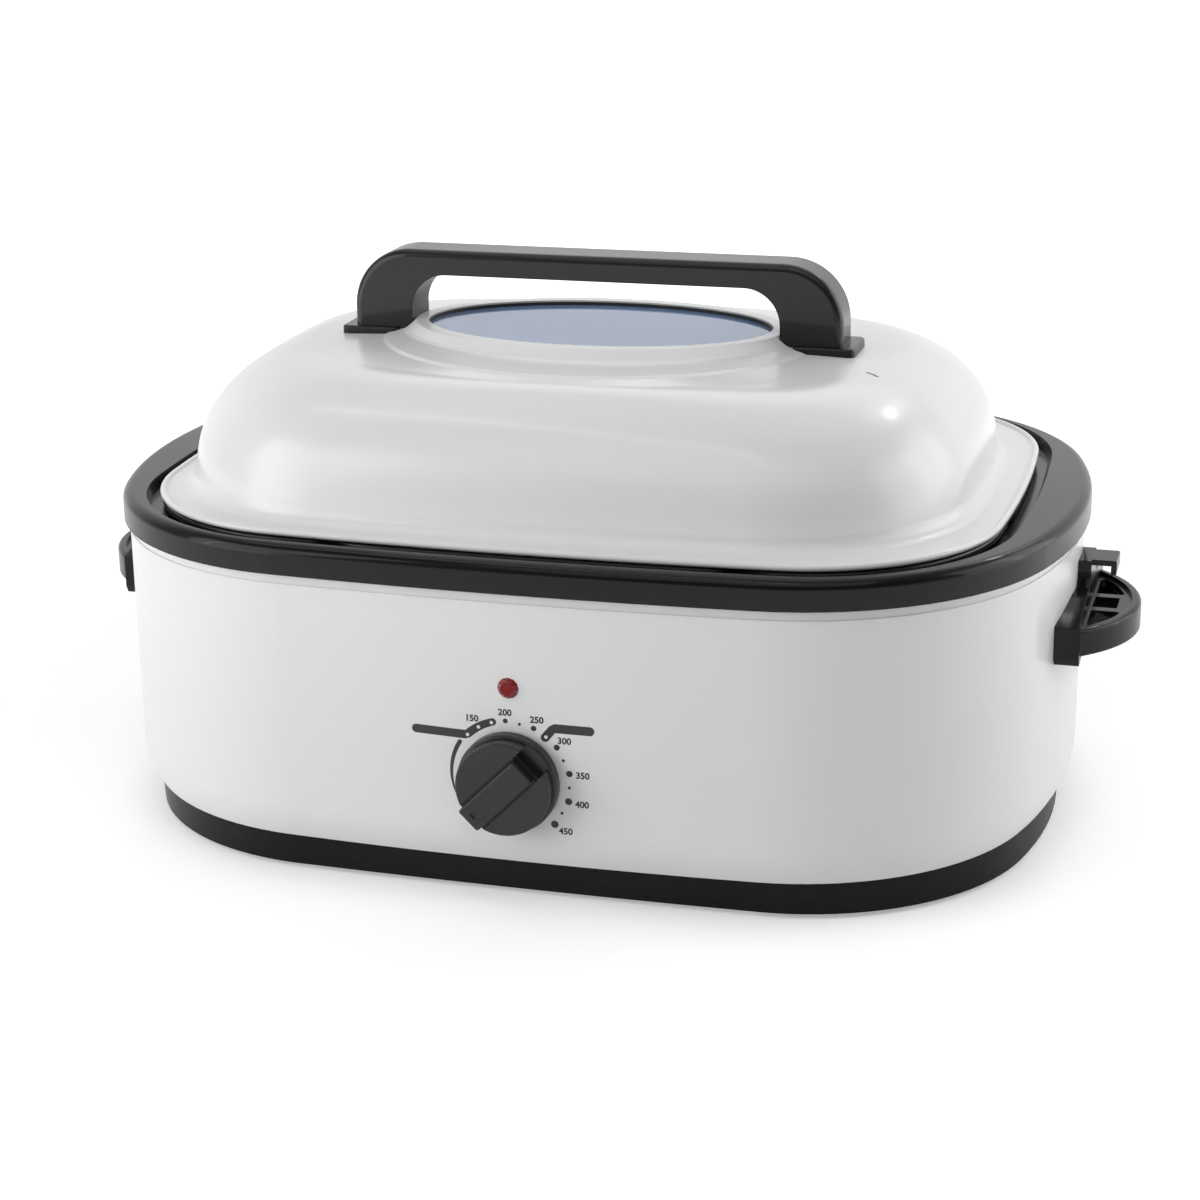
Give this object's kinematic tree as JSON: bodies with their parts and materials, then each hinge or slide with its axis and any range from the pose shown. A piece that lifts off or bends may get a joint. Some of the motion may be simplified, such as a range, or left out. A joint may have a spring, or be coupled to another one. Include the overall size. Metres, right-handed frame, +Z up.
{
  "type": "electric roaster oven",
  "caption": "Countertop electric roaster oven: oval insulated body, lift-out pan and rack, lift-off domed lid with window and arched handle, front knob and side handles.",
  "frame": {"origin": "on the surface it stands on, in the middle of the whole footprint", "axes": "+X along the long side, to the right seen from the front; -Y to the front; +Z up"},
  "size_m": [0.592, 0.398, 0.305],
  "materials": {
    "white_enamel": "glossy baked white enamel",
    "black_enamel": "glossy black porcelain enamel",
    "pan_enamel": "black porcelain enamel",
    "base_black": "satin black moulded band",
    "handle_black": "glossy black phenolic",
    "lid_handle_black": "satin black phenolic",
    "knob_black": "glossy black moulding",
    "tinted_glass": "tempered smoke-tinted glass",
    "black_rubber": "matte silicone rubber",
    "rack_chrome": "bright plated wire",
    "zinc_steel": "zinc-plated steel",
    "red_lens": "clear red lens",
    "heater_ribbon": "heat-tinted ribbon",
    "glass_wool": "pressed glass wool",
    "ceramic": "unglazed ceramic",
    "copper_tube": "drawn copper",
    "lead_sleeve": "braided glass sleeve",
    "lamp_plastic": "white nylon"
  },
  "bodies": {
    "housing": {"outer_shell": "white_enamel", "base_skirt": "base_black", "bottom_plate": "zinc_steel", "base_screws": "zinc_steel", "feet": "black_rubber", "well_studs": "zinc_steel", "heating_well": "black_enamel", "side_handle_right": "handle_black", "side_handle_left": "handle_black", "handle_brackets": "zinc_steel", "side_handle_screws": "zinc_steel", "thermostat_body": "ceramic", "thermostat_bracket": "zinc_steel", "thermostat_bulb": "copper_tube", "indicator_lens": "red_lens", "lamp_retainer": "zinc_steel", "lamp_body": "lamp_plastic", "heating_element": "heater_ribbon", "element_clips": "zinc_steel", "insulation_blanket": "glass_wool", "thermal_fuse": "ceramic", "terminal_block": "ceramic", "cord_gland": "black_rubber", "internal_leads": "lead_sleeve"},
    "pan": {"roasting_pan": "pan_enamel"},
    "rack": {"rack_frame": "rack_chrome", "rack_wires": "rack_chrome", "rack_handles": "rack_chrome"},
    "lid": {"lid_shell": "white_enamel", "window_glass": "tinted_glass", "window_gasket": "black_rubber", "window_ring": "zinc_steel", "lid_handle": "lid_handle_black", "lid_handle_screws": "zinc_steel", "lid_handle_washers": "zinc_steel"},
    "knob": {"control_knob": "knob_black", "knob_spring_clip": "zinc_steel", "thermostat_shaft": "zinc_steel"}
  },
  "joints": [
    {"name": "pan_lift", "type": "slide", "parent": "housing", "child": "pan", "axis": [0, 0, 1], "range_m": [0, 0.16]},
    {"name": "rack_lift", "type": "slide", "parent": "pan", "child": "rack", "axis": [0, 0, 1], "range_m": [0, 0.15]},
    {"name": "lid_lift", "type": "slide", "parent": "rack", "child": "lid", "axis": [0, 0, 1], "range_m": [0, 0.12]},
    {"name": "knob_turn", "type": "hinge", "parent": "housing", "child": "knob", "pos_m": [0, -0.182, 0.07], "axis": [0, 1, 0], "range_deg": [0, 270]}
  ]
}
